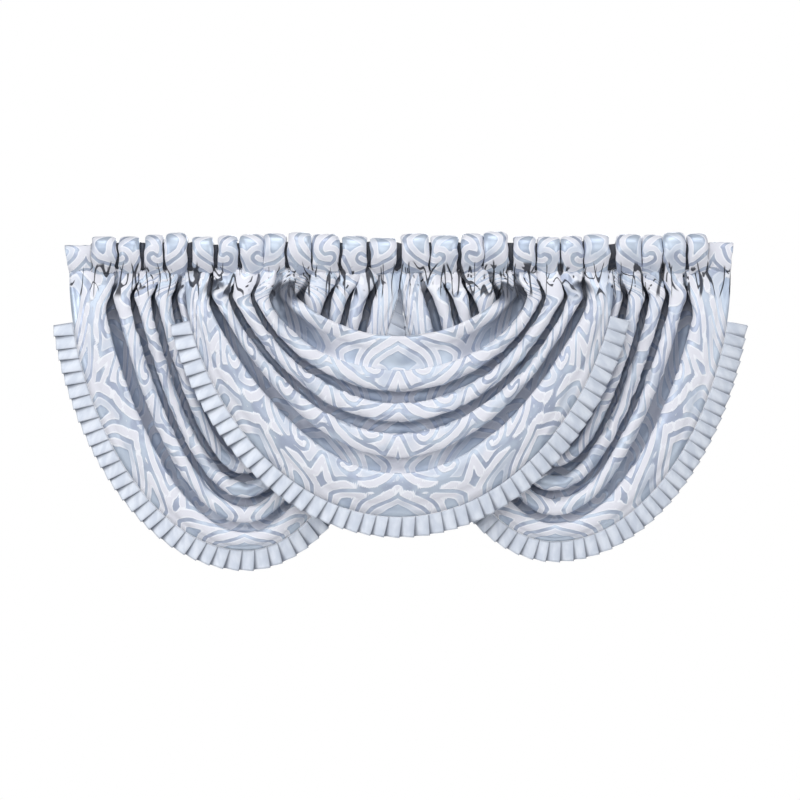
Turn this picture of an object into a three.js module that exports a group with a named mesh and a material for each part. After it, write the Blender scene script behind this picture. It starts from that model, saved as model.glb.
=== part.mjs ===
// Waterfall valance: a gathered rod pocket, three draped swags and a knife-pleated trim on each swag.
// Millimetres. +X runs along the rod, +Z is up and the front faces -Y.
// The origin is the middle of the pocket's top edge, where the cloth bears on the rod.
import * as THREE from 'three';

// Cloth
const CLOTH = 1.4;
const TRIM_CLOTH = 1.2;
const SEAM_GAP = 0.35;

// Rod pocket
const POCKET_BOTTOM = -66;
const PUFF_OUT = 22;
const PUFF_BACK = 14;
const GROOVE_OUT = 10;
const GROOVE_BACK = 9;
const GROOVE_TOP = -12;
const SHOULDER = 0.36;
const SHOULDER_FULLNESS = 0.84;
const SHOULDER_FALL = 2;
const UNEVEN_FULLNESS = 0.06;
const FULLNESS_WAVE = 2.4;
const FLAT_OUT = 9;
const FLAT_BACK = 8;
const FLAT_SHARE = 0.6;
const LAST_GROOVE = 2;

// Where the swags hang from the pocket's seam
const SEAM_Z = POCKET_BOTTOM - SEAM_GAP;
const FOLD_NECK_DROP = 36;
const EDGE_NECK_DROP = 110;

// Trim
const TRIM_WIDTH = 31.5;
const PLEAT_LIFT = 2.6;
const PLEAT_LIFT_AT_SEAM = 1.3;
const PLEATS_PER_COLUMN = 2;
const PLEAT_FACE = 0.86;

// Puffs of the pocket from left to right: middle, width and how high the crown stands
const PUFFS = [
  { middle: -466, width: 36, crown: -2 },
  { middle: -426, width: 31, crown: -2 },
  { middle: -387, width: 27, crown: 1 },
  { middle: -352, width: 32, crown: 4 },
  { middle: -310, width: 29, crown: -2 },
  { middle: -271, width: 30, crown: 0 },
  { middle: -233, width: 34, crown: 2 },
  { middle: -198, width: 32, crown: 3 },
  { middle: -158, width: 34, crown: 5 },
  { middle: -117, width: 40, crown: 2 },
  { middle: -72, width: 36, crown: -1 },
  { middle: -27, width: 38, crown: -4 },
  { middle: 24, width: 41, crown: 3 },
  { middle: 70, width: 40, crown: 0 },
  { middle: 114, width: 32, crown: 3 },
  { middle: 151, width: 36, crown: 6 },
  { middle: 196, width: 32, crown: -1 },
  { middle: 234, width: 34, crown: -2 },
  { middle: 271, width: 32, crown: -1 },
  { middle: 310, width: 37, crown: 2 },
  { middle: 360, width: 38, crown: 2 },
  { middle: 397, width: 30, crown: 1 },
  { middle: 432, width: 33, crown: 5 },
  { middle: 469, width: 30, crown: 3 },
];

// Flat ends of the pocket, past the last puffs, and how far their edges slope in by the seam
const FLAT_ENDS = {
  left: { tip: -530, top: -16, slope: 10 },
  right: { tip: 527, top: -11, slope: 8 },
};

// Section of the pocket, up the front from the seam, over the top and down the back.
// height is a share from the seam to the crown, out a share of the front or back fullness.
const POCKET_SECTION = [
  { height: 0, out: 0.1 },
  { height: 0.16, out: 0.78 },
  { height: 0.5, out: 1 },
  { height: 0.86, out: 0.86 },
  { height: 1, out: 0.3 },
  { height: 0.95, out: -0.7 },
  { height: 0.6, out: -1 },
  { height: 0.15, out: -0.8 },
];

// Folds of a swag from its turned lip to its sewn edge. left and right are the reach from the axis at
// the seam, drop is the lowest point below the origin, taper is 0.5 for an elliptic U and 1 for a
// parabolic one, side and middle say how far the cloth stands forward there, neck is the share of the
// gathers' draw that reaches the fold, and steps are the strips of cloth from the row above.
const CENTRE_FOLDS = {
  turnedLip: { left: 181, right: 181, drop: 168, taper: 0.75, side: -5, middle: -4, neck: 1, steps: 0 },
  topRoll: { left: 184, right: 184, drop: 161, taper: 0.75, side: 6, middle: 7, neck: 1, steps: 1 },
  topPanel: { left: 208, right: 206, drop: 200, taper: 0.53, side: -9, middle: 0, neck: 1, steps: 2 },
  upperRidge: { left: 223, right: 221, drop: 235, taper: 0.6, side: 9, middle: 9, neck: 1, steps: 3 },
  upperValley: { left: 238, right: 236, drop: 253, taper: 0.67, side: -9, middle: -6, neck: 1, steps: 3 },
  middleRidge: { left: 256, right: 254, drop: 284, taper: 0.72, side: 9, middle: 8, neck: 1, steps: 3 },
  middleValley: { left: 275, right: 273, drop: 300, taper: 0.78, side: -9, middle: -6, neck: 1, steps: 3 },
  lowerRidge: { left: 293, right: 291, drop: 334, taper: 0.87, side: 9, middle: 8, neck: 1, steps: 3 },
  lowerValley: { left: 311, right: 308, drop: 360, taper: 0.96, side: -9, middle: -4, neck: 1, steps: 3 },
  border: { left: 323, right: 322, drop: 396, taper: 0.76, side: 5, middle: 4, neck: 0.5, steps: 2 },
  sewnEdge: { left: 336, right: 338, drop: 443, taper: 0.59, side: 0, middle: -3, neck: 0, steps: 1 },
};

const SIDE_FOLDS = {
  turnedLip: { left: 103, right: 62, drop: 334, taper: 0.95, side: -5, middle: -5, neck: 1, steps: 0 },
  topRoll: { left: 106, right: 65, drop: 325, taper: 0.95, side: 3, middle: 6, neck: 1, steps: 1 },
  topPanel: { left: 121, right: 92, drop: 347, taper: 0.95, side: -8, middle: -5, neck: 1, steps: 2 },
  upperRidge: { left: 137, right: 116, drop: 366, taper: 0.95, side: 8, middle: 8, neck: 1, steps: 3 },
  upperValley: { left: 154, right: 138, drop: 381, taper: 0.95, side: -8, middle: -7, neck: 1, steps: 3 },
  middleRidge: { left: 170, right: 155, drop: 405, taper: 0.94, side: 8, middle: 8, neck: 1, steps: 3 },
  middleValley: { left: 186, right: 170, drop: 420, taper: 0.93, side: -8, middle: -6, neck: 1, steps: 3 },
  lowerRidge: { left: 203, right: 185, drop: 442, taper: 0.9, side: 8, middle: 8, neck: 1, steps: 3 },
  lowerValley: { left: 219, right: 200, drop: 461, taper: 0.87, side: -8, middle: -4, neck: 1, steps: 3 },
  border: { left: 248, right: 216, drop: 480, taper: 0.7, side: 4, middle: 6, neck: 0.5, steps: 2 },
  sewnEdge: { left: 278, right: 228, drop: 497, taper: 0.57, side: 0, middle: -3, neck: 0, steps: 1 },
};

// The three swags. settle stretches or lifts the drops, seamOut is how far the cloth stands forward at
// the seam and forward how much more it does further down, reached at the depth of rise. Each end says
// how far the gathers draw the folds and the sewn edge in at the seam, the height where the trim ends,
// and how far that end of the trim turns back, in radians.
const SWAGS = {
  left: {
    folds: SIDE_FOLDS, mirrored: false, axis: -243, settle: 1, seed: 0.4,
    seamOut: 2, forward: 10, rise: 90, columns: 26,
    leftEnd: { drawFolds: 17, drawEdge: 0, trimEnd: -136, turn: 0 },
    rightEnd: { drawFolds: -10, drawEdge: -16, trimEnd: -88, turn: 1.1 },
  },
  centre: {
    folds: CENTRE_FOLDS, mirrored: false, axis: -2, settle: 1, seed: 2.1,
    seamOut: 7.2, forward: 33, rise: 62, columns: 24,
    leftEnd: { drawFolds: 18, drawEdge: 0, trimEnd: -134, turn: 0 },
    rightEnd: { drawFolds: 18, drawEdge: 0, trimEnd: -132, turn: 0 },
  },
  right: {
    folds: SIDE_FOLDS, mirrored: true, axis: 243, settle: 0.972, seed: 4.3,
    seamOut: 2, forward: 10, rise: 90, columns: 26,
    leftEnd: { drawFolds: -10, drawEdge: -13.4, trimEnd: -124, turn: -0.2 },
    rightEnd: { drawFolds: 15, drawEdge: 0, trimEnd: -138, turn: 0 },
  },
};
const NECK_COLUMNS = 2;
const SEAM_FOLD_SHARE = 0.4;
const FOLD_DEEPENS = 55;
const UNEVEN_REACH = 0.008;
const REACH_WAVE = 0.7;
const UNEVEN_DEPTH = 0.14;
const DEPTH_WAVE = 0.9;
const DEPTH_WAVES_ALONG = 3;
const MIDDLE_NARROWNESS = 6;
const EDGE_SAMPLES = 1440;
const TURN_LENGTH = 150;

const JACQUARD = { color: 0xd3dae5, roughness: 0.55, metalness: 0 };
const SATIN = { color: 0xdbe2ea, roughness: 0.45, metalness: 0 };

const mix = (from, to, share) => from + (to - from) * share;

// Eases from 0 to 1, flat at both ends
function ease(share) {
  const t = Math.min(1, Math.max(0, share));
  return t * t * (3 - 2 * t);
}

// Surface direction at one point of a grid of cloth, from its neighbours
function clothNormal(grid, column, row, isRing) {
  const last = grid.length - 1;
  const rows = grid[0].length;
  const before = isRing ? (row + rows - 1) % rows : Math.max(0, row - 1);
  const after = isRing ? (row + 1) % rows : Math.min(rows - 1, row + 1);
  const along = new THREE.Vector3().subVectors(
    grid[Math.min(last, column + 1)][row], grid[Math.max(0, column - 1)][row]);
  const across = new THREE.Vector3().subVectors(grid[column][after], grid[column][before]);
  return along.cross(across).normalize();
}

// Closed solid of a grid of cloth points with half the thickness on each side. flatten(column, row)
// gives the direction that the cloth's own rim faces, or null away from a rim that has to stay square.
function clothSolid(grid, thickness, { isRing = false, flatten = () => null } = {}) {
  const columns = grid.length;
  const rows = grid[0].length;
  const positions = [];
  for (const side of [0.5, -0.5]) {
    for (let column = 0; column < columns; column++) {
      for (let row = 0; row < rows; row++) {
        const normal = clothNormal(grid, column, row, isRing);
        const facing = flatten(column, row);
        if (facing) {
          normal.addScaledVector(facing, -normal.dot(facing)).normalize();
        }
        const point = grid[column][row].clone().addScaledVector(normal, side * thickness);
        positions.push(point.x, point.y, point.z);
      }
    }
  }

  const layer = columns * rows;
  const front = (column, row) => column * rows + (row % rows);
  const back = (column, row) => layer + front(column, row);
  const faces = [];
  const quad = (a, b, c, d) => faces.push(a, b, c, a, c, d);
  const strips = isRing ? rows : rows - 1;
  for (let column = 0; column < columns - 1; column++) {
    for (let row = 0; row < strips; row++) {
      quad(front(column, row), front(column + 1, row), front(column + 1, row + 1), front(column, row + 1));
      quad(back(column, row), back(column, row + 1), back(column + 1, row + 1), back(column + 1, row));
    }
  }
  const end = columns - 1;
  for (let row = 0; row < strips; row++) {
    quad(front(0, row), front(0, row + 1), back(0, row + 1), back(0, row));
    quad(front(end, row + 1), front(end, row), back(end, row), back(end, row + 1));
  }
  if (!isRing) {
    for (let column = 0; column < end; column++) {
      quad(front(column + 1, 0), front(column, 0), back(column, 0), back(column + 1, 0));
      quad(front(column, rows - 1), front(column + 1, rows - 1),
        back(column + 1, rows - 1), back(column, rows - 1));
    }
  }

  const geometry = new THREE.BufferGeometry();
  geometry.setAttribute('position', new THREE.Float32BufferAttribute(positions, 3));
  geometry.setIndex(faces);
  geometry.computeVertexNormals();
  return geometry;
}

// One closed section of the pocket at x, as full and as high as it is there
function pocketSection(station) {
  return POCKET_SECTION.map(({ height, out }) => {
    const fullness = out > 0 ? station.out : station.back;
    const z = mix(POCKET_BOTTOM + CLOTH / 2, station.top, height);
    const x = station.x + station.lean * (1 - height);
    return new THREE.Vector3(x, -out * fullness, z);
  });
}

// Sections along the pocket: a flat end, then a groove, shoulder, crown and shoulder for each puff
function pocketStations() {
  const groove = (x) => ({ x, out: GROOVE_OUT, back: GROOVE_BACK, top: GROOVE_TOP, lean: 0 });
  const flat = (x, end, lean) => ({ x, out: FLAT_OUT, back: FLAT_BACK, top: end.top, lean });
  const { left, right } = FLAT_ENDS;
  const first = PUFFS[0];
  const last = PUFFS[PUFFS.length - 1];
  const firstEdge = first.middle - first.width / 2;
  const lastEdge = last.middle + last.width / 2;

  const stations = [flat(left.tip, left, left.slope), flat(mix(left.tip, firstEdge, FLAT_SHARE), left, 0)];
  PUFFS.forEach((puff, index) => {
    const previous = PUFFS[index - 1];
    const edge = puff.middle - puff.width / 2;
    const start = previous ? (previous.middle + previous.width / 2 + edge) / 2 : firstEdge - LAST_GROOVE;
    stations.push(groove(start));
    const lift = 1 + UNEVEN_FULLNESS * Math.sin(FULLNESS_WAVE * index);
    for (const share of [-SHOULDER, 0, SHOULDER]) {
      const isCrown = share === 0;
      const fullness = isCrown ? 1 : SHOULDER_FULLNESS;
      stations.push({
        x: puff.middle + share * puff.width,
        out: PUFF_OUT * fullness * lift,
        back: PUFF_BACK * fullness,
        top: puff.crown - (isCrown ? 0 : SHOULDER_FALL) - CLOTH / 2,
        lean: 0,
      });
    }
  });
  stations.push(groove(lastEdge + LAST_GROOVE));
  stations.push(flat(mix(right.tip, lastEdge, FLAT_SHARE), right, 0));
  stations.push(flat(right.tip, right, -right.slope));
  return stations;
}

// A row of the folds table between two named folds, share of the way from one to the other
function foldBetween(upper, lower, share) {
  const row = {};
  for (const key of ['left', 'right', 'drop', 'taper', 'neck']) {
    row[key] = mix(upper[key], lower[key], share);
  }
  for (const key of ['side', 'middle']) {
    row[key] = mix(upper[key], lower[key], ease(share));
  }
  return row;
}

// All the lines of cloth of a swag, from its top roll to its sewn edge
function clothLines(foldTable) {
  const folds = Object.values(foldTable);
  const lines = [foldBetween(folds[0], folds[0], 0)];
  for (let index = 1; index < folds.length; index++) {
    for (let step = 1; step <= folds[index].steps; step++) {
      lines.push(foldBetween(folds[index - 1], folds[index], step / folds[index].steps));
    }
  }
  return lines;
}

// Point of one line of a swag. turn goes from 0 at its left end at the seam to PI at its right end.
function swagPoint(swag, line, lineIndex, turn) {
  const isLeft = turn < Math.PI / 2;
  const end = isLeft ? swag.leftEnd : swag.rightEnd;
  const isTableLeft = isLeft !== swag.mirrored;
  const bow = Math.sin(turn);
  const wave = Math.sin(REACH_WAVE * lineIndex + swag.seed);
  const reach = (isTableLeft ? line.left : line.right) * (1 + UNEVEN_REACH * wave * bow ** 2);
  const fall = (line.drop * swag.settle + SEAM_Z) * bow ** (2 * line.taper);
  const neckDrop = mix(EDGE_NECK_DROP, FOLD_NECK_DROP, line.neck);
  const drawn = mix(end.drawEdge, end.drawFolds, line.neck) * (1 - ease(fall / neckDrop));
  const across = reach * Math.abs(Math.cos(turn)) - drawn;

  const deepened = mix(SEAM_FOLD_SHARE, 1, ease(fall / FOLD_DEEPENS));
  const depthWave = Math.sin(DEPTH_WAVES_ALONG * turn + DEPTH_WAVE * lineIndex + swag.seed);
  const uneven = 1 + UNEVEN_DEPTH * depthWave;
  const stands = mix(line.side, line.middle, bow ** MIDDLE_NARROWNESS) * deepened * uneven;
  const out = swag.seamOut + swag.forward * ease(fall / swag.rise) + stands;
  return new THREE.Vector3(swag.axis + (isLeft ? -across : across), -out, SEAM_Z - fall);
}

// Turns at which the sewn edge is cut into columns: a few down each neck and equal ones on the trim
function columnTurns(swag, edge, edgeIndex) {
  const turns = [];
  const lengths = [0];
  for (let index = 0; index <= EDGE_SAMPLES; index++) {
    turns.push(Math.PI * index / EDGE_SAMPLES);
  }
  const points = turns.map((turn) => swagPoint(swag, edge, edgeIndex, turn));
  for (let index = 1; index <= EDGE_SAMPLES; index++) {
    lengths.push(lengths[index - 1] + points[index].distanceTo(points[index - 1]));
  }
  const middle = EDGE_SAMPLES / 2;
  const from = points.findIndex((point) => point.z <= swag.leftEnd.trimEnd);
  const to = middle + points.slice(middle).findIndex((point) => point.z >= swag.rightEnd.trimEnd);

  const turnAt = (length) => {
    const index = Math.max(1, lengths.findIndex((value) => value >= length));
    const share = (length - lengths[index - 1]) / (lengths[index] - lengths[index - 1]);
    return mix(turns[index - 1], turns[index], share);
  };
  const spread = (start, finish, count) => Array.from(
    { length: count }, (_, index) => turnAt(mix(start, finish, index / count)));
  const whole = lengths[EDGE_SAMPLES];
  return [
    ...spread(0, lengths[from], NECK_COLUMNS),
    ...spread(lengths[from], lengths[to], swag.columns),
    ...spread(lengths[to], whole, NECK_COLUMNS),
    Math.PI,
  ];
}

// Direction away from the cloth at a point of the sewn edge, in the plane of the window
function outwardAt(edge, column) {
  const before = edge[Math.max(0, column - 1)];
  const after = edge[Math.min(edge.length - 1, column + 1)];
  return new THREE.Vector3(after.z - before.z, 0, before.x - after.x).normalize();
}

// Grid of cloth points of a swag, a column for each turn and a row for each line
function swagGrid(swag) {
  const lines = clothLines(swag.folds);
  const edgeIndex = lines.length - 1;
  const turns = columnTurns(swag, lines[edgeIndex], edgeIndex);
  return turns.map((turn) => lines.map((line, index) => swagPoint(swag, line, index, turn)));
}

// The swag's own solid, square at the pocket's seam and along its sewn edge
function swagSolid(grid) {
  const edge = grid.map((column) => column[column.length - 1]);
  const up = new THREE.Vector3(0, 0, 1);
  const flatten = (column, row) => {
    if (column === 0 || column === grid.length - 1) {
      return up;
    }
    return row === grid[0].length - 1 ? outwardAt(edge, column) : null;
  };
  return clothSolid(grid, CLOTH, { flatten });
}

// The swag's column that a station of its trim lies on
function trimColumn(station, first) {
  return first + Math.round(station / (2 * PLEATS_PER_COLUMN));
}

// Knife-pleated trim along a swag's sewn edge: each pleat's face climbs forward, then steps back
function trimSolid(swag, grid) {
  const edge = grid.map((column) => column[column.length - 1]);
  const first = NECK_COLUMNS;
  const last = first + swag.columns;
  const ownLength = edge[first].distanceTo(edge[first + 1]) * swag.columns;
  const trimGrid = [];
  const addStation = (column, share, lift) => {
    const next = Math.min(edge.length - 1, column + 1);
    const start = new THREE.Vector3().lerpVectors(edge[column], edge[next], share);
    const outward = outwardAt(edge, column).lerp(outwardAt(edge, next), share).normalize();
    const along = ownLength * (column - first + share) / swag.columns;
    const turn = swag.leftEnd.turn * (1 - ease(along / TURN_LENGTH))
      + swag.rightEnd.turn * (1 - ease((ownLength - along) / TURN_LENGTH));
    const reach = outward.clone().multiplyScalar(Math.cos(turn));
    reach.y += Math.sin(turn);
    start.addScaledVector(outward, SEAM_GAP);
    start.y -= lift * PLEAT_LIFT_AT_SEAM;
    const tip = start.clone().addScaledVector(reach, TRIM_WIDTH);
    tip.y -= lift * (PLEAT_LIFT - PLEAT_LIFT_AT_SEAM);
    trimGrid.push([start, tip]);
  };
  for (let column = first; column < last; column++) {
    for (let pleat = 0; pleat < PLEATS_PER_COLUMN; pleat++) {
      addStation(column, pleat / PLEATS_PER_COLUMN, 0);
      addStation(column, (pleat + PLEAT_FACE) / PLEATS_PER_COLUMN, 1);
    }
  }
  addStation(last, 0, 0);

  const flatten = (station, row) => (row === 0 ? outwardAt(edge, trimColumn(station, first)) : null);
  return clothSolid(trimGrid, TRIM_CLOTH, { flatten });
}

function namedMesh(name, geometry, finish) {
  const mesh = new THREE.Mesh(geometry, new THREE.MeshStandardMaterial(finish));
  mesh.name = name;
  return mesh;
}

const valance = new THREE.Group();
const pocketGrid = pocketStations().map(pocketSection);
valance.add(namedMesh('rod_pocket', clothSolid(pocketGrid, CLOTH, { isRing: true }), JACQUARD));
for (const [side, swag] of Object.entries(SWAGS)) {
  const grid = swagGrid(swag);
  valance.add(namedMesh(`swag_${side}`, swagSolid(grid), JACQUARD));
  valance.add(namedMesh(`trim_${side}`, trimSolid(swag, grid), SATIN));
}

export default valance;
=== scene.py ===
"""Looks of a waterfall valance: a gathered rod pocket, three draped swags and a pleated trim on each swag.

The tables are in millimetres, and MM turns them into Blender's metres. +X runs along the rod, +Z is up
and the front faces -Y. The origin is the middle of the pocket's top edge.
"""

import logging
import math
from collections.abc import Iterable, Mapping
from dataclasses import dataclass
from enum import Enum

import bmesh
import bpy
import numpy as np
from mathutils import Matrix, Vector, noise

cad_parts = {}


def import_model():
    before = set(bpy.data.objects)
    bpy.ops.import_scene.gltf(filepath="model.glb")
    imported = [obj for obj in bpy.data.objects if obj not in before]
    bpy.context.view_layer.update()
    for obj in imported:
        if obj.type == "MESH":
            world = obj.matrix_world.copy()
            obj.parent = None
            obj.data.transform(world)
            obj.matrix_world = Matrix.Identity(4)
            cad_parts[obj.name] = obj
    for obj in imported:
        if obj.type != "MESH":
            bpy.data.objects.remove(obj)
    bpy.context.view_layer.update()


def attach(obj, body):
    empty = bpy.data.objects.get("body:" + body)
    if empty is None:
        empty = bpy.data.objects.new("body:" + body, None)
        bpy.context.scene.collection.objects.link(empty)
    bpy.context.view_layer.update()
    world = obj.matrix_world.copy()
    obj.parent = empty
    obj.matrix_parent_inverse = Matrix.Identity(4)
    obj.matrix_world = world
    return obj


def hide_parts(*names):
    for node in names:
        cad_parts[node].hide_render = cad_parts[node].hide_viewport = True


LOG = logging.getLogger("valance")
MM = 0.001

# Heights of the pinch seam, as in the solids
POCKET_BOTTOM = -66.0
SEAM_GAP = 0.35
SEAM_Z = POCKET_BOTTOM - SEAM_GAP

Array = np.ndarray
Object = bpy.types.Object
Material = bpy.types.Material
Socket = bpy.types.NodeSocket
Colour = tuple[float, float, float, float]


class Side(Enum):
    """The three swags."""

    LEFT = "left"
    CENTRE = "centre"
    RIGHT = "right"


class Lie(Enum):
    """How the cloth lies along one line of a swag, as a sign of how far it stands forward."""

    RIDGE = 1
    FLAT = 0
    VALLEY = -1


def mix(start: Array | float, end: Array | float, share: Array | float) -> Array | float:
    """Goes from start to end as share goes from 0 to 1."""
    return start + (end - start) * share


def ease(share: Array | float) -> Array:
    """Goes smoothly from 0 to 1, flat at both ends."""
    clipped = np.clip(share, 0.0, 1.0)
    return clipped * clipped * (3.0 - 2.0 * clipped)


def srgb(red: int, green: int, blue: int) -> Colour:
    """Turns a screen colour into the linear colour that Blender's sockets take.

    Args:
        red: the red part, from 0 to 255.
        green: the green part.
        blue: the blue part.

    Returns:
        The linear red, green and blue, from 0 to 1, and an alpha of 1.
    """
    linear = []
    for part in (red, green, blue):
        share = part / 255.0
        linear.append(share / 12.92 if share <= 0.04045 else ((share + 0.055) / 1.055) ** 2.4)
    return (linear[0], linear[1], linear[2], 1.0)


def lumps(across: Array, along: Array, seed: float) -> Array:
    """Smooth noise from -1 to 1 over a grid of cloth, the same on each run.

    Args:
        across: first coordinate of each point, in wavelengths.
        along: second coordinate of each point, in wavelengths.
        seed: picks one field of noise.

    Returns:
        The noise at each point, in the shape of across.
    """
    pairs = zip(across.ravel(), along.ravel())
    values = np.fromiter((noise.noise((a, b, seed)) for a, b in pairs), float, across.size)
    return values.reshape(across.shape)


def placed(name: str, data: bpy.types.ID) -> Object:
    """Puts a new object in the scene, at the origin.

    Args:
        name: the object's name.
        data: its mesh, light or camera.

    Returns:
        The object.
    """
    made = bpy.data.objects.new(name, data)
    bpy.context.scene.collection.objects.link(made)
    return made


def finished(name: str, shape: bmesh.types.BMesh) -> Object:
    """Turns a bmesh into a new object in the scene.

    Args:
        name: the name of the object and of its mesh.
        shape: the bmesh, which is freed.

    Returns:
        The object, at the origin.
    """
    mesh = bpy.data.meshes.new(name)
    shape.to_mesh(mesh)
    shape.free()
    return placed(name, mesh)


@dataclass(frozen=True)
class Crinkle:
    """One layer of the crinkles by the pinch seam.

    rise is its height, across and down its wavelengths, sway how far its lines wander and width how
    broad each crease is beside the wavelength.
    """

    rise: float
    across: float
    down: float
    sway: float
    width: float
    seed: float


CRINKLES = (
    Crinkle(rise=1.9, across=15.0, down=52.0, sway=11.0, width=0.2, seed=3.3),
    Crinkle(rise=1.0, across=10.0, down=24.0, sway=8.0, width=0.17, seed=5.6),
)
SWAY_ACROSS = 37.0
SWAY_DOWN = 19.0
SWAY_SEED = 20.0
CREASE_RISE = 0.5
CREASE_DIP = 1.5


def crinkled(x: Array, z: Array) -> Array:
    """Crinkles of gathered cloth near the pinch seam, which run on from the pocket to the swags.

    Args:
        x: each point's place along the rod, in millimetres.
        z: each point's height, in millimetres.

    Returns:
        How far each point is raised, in millimetres.
    """
    height = np.zeros(x.shape)
    for layer in CRINKLES:
        swayed = x + layer.sway * lumps(x / SWAY_ACROSS, z / SWAY_DOWN, layer.seed + SWAY_SEED)
        noisy = np.abs(lumps(swayed / layer.across, z / layer.down, layer.seed))
        crease = np.clip(1 - noisy / (2 * layer.width), 0.0, 1.0)
        height += layer.rise * (CREASE_RISE - CREASE_DIP * crease)
    return height


@dataclass(frozen=True)
class Ripple:
    """One layer of soft unevenness: its size and its wavelengths across and along, in millimetres."""

    size: float
    across: float
    along: float
    seed: float

    def over(self, across: Array, along: Array, shift: float = 0.0) -> Array:
        """The layer at each point of a grid of cloth, with shift to tell one swag from the next."""
        return self.size * lumps(across / self.across, along / self.along, self.seed + shift)


@dataclass(frozen=True)
class Stroke:
    """One drawn line of the woven pattern, in millimetres and degrees.

    It starts towards heading and turns by bend_start degrees per 10 mm at first and by bend_end at
    last. The bend changes evenly where curl is 1, and mostly near the end where curl is more. Its
    width goes from wide_start to wide_end.
    """

    x: float
    y: float
    heading: float
    length: float
    bend_start: float
    bend_end: float
    wide_start: float
    wide_end: float
    curl: float = 1.0

    def capsules(self, spacing: float) -> Array:
        """Cuts the stroke into short straight pieces.

        Args:
            spacing: about how long a piece is, in millimetres.

        Returns:
            A row for each piece: start x and y, end x and y, start and end half width.
        """
        count = max(2, round(self.length / spacing))
        share = np.linspace(0.0, 1.0, count + 1)
        bend = np.radians(mix(self.bend_start, self.bend_end, share**self.curl)) / 10.0
        turned = np.concatenate(([0.0], np.cumsum((bend[1:] + bend[:-1]) / 2) * self.length / count))
        heading = math.radians(self.heading) + turned
        middle = (heading[1:] + heading[:-1]) / 2
        x = self.x + np.concatenate(([0.0], np.cumsum(np.cos(middle)) * self.length / count))
        y = self.y + np.concatenate(([0.0], np.cumsum(np.sin(middle)) * self.length / count))
        half = mix(self.wide_start, self.wide_end, share) / 2
        return np.column_stack((x[:-1], y[:-1], x[1:], y[1:], half[:-1], half[1:]))


@dataclass(frozen=True)
class Damask:
    """The woven pattern: wide ogees with a heart in each, which repeat with a half drop.

    It is mirrored about each swag's axis. rounding says how softly strokes join.
    """

    wide: float = 236.0
    high: float = 172.0
    spacing: float = 2.5
    rounding: float = 3.0
    strokes: tuple[Stroke, ...] = (
        Stroke(0.0, 86.0, -80.0, 150.0, 16.9, -16.9, 12.0, 12.0),
        Stroke(0.0, -46.0, 38.0, 112.0, -3.6, 59.0, 13.0, 8.0, 2.0),
        Stroke(0.0, 21.0, 70.0, 30.0, 0.0, 0.0, 7.0, 14.0),
    )

    def distance(self, along: Array, across: Array) -> Array:
        """Distance to the nearest edge of the strokes, below zero inside them.

        Args:
            along: each point's distance from the swag's axis along the cloth, in millimetres.
            across: each point's distance down the cloth, in millimetres.

        Returns:
            The distance at each point, in millimetres, in the shape of along.
        """
        nearest = np.full(along.shape, self.high)
        for shift in (0.0, 0.5):
            x = along / self.wide + shift
            y = across / self.high + shift
            local_x = np.abs(x - np.round(x)) * self.wide
            local_y = (y - np.round(y)) * self.high
            for stroke in self.strokes:
                own = self.distance_to(stroke, local_x, local_y)
                share = np.clip(0.5 + (nearest - own) / (2 * self.rounding), 0.0, 1.0)
                nearest = mix(nearest, own, share) - self.rounding * share * (1 - share)
        return nearest

    def distance_to(self, stroke: Stroke, x: Array, y: Array) -> Array:
        """Distance from each place of half a motif to one stroke's edge, below zero inside it.

        Args:
            stroke: the stroke.
            x: each place's distance from the motif's axis, in millimetres.
            y: each place's distance from the motif's middle, down the cloth, in millimetres.

        Returns:
            The distance at each place, in millimetres.
        """
        nearest = np.full(x.shape, self.high)
        for start_x, start_y, end_x, end_y, half_start, half_end in stroke.capsules(self.spacing):
            run_x = end_x - start_x
            run_y = end_y - start_y
            reach = (x - start_x) * run_x + (y - start_y) * run_y
            share = np.clip(reach / (run_x * run_x + run_y * run_y), 0.0, 1.0)
            off = np.hypot(x - start_x - share * run_x, y - start_y - share * run_y)
            nearest = np.minimum(nearest, off - mix(half_start, half_end, share))
        return nearest


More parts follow.
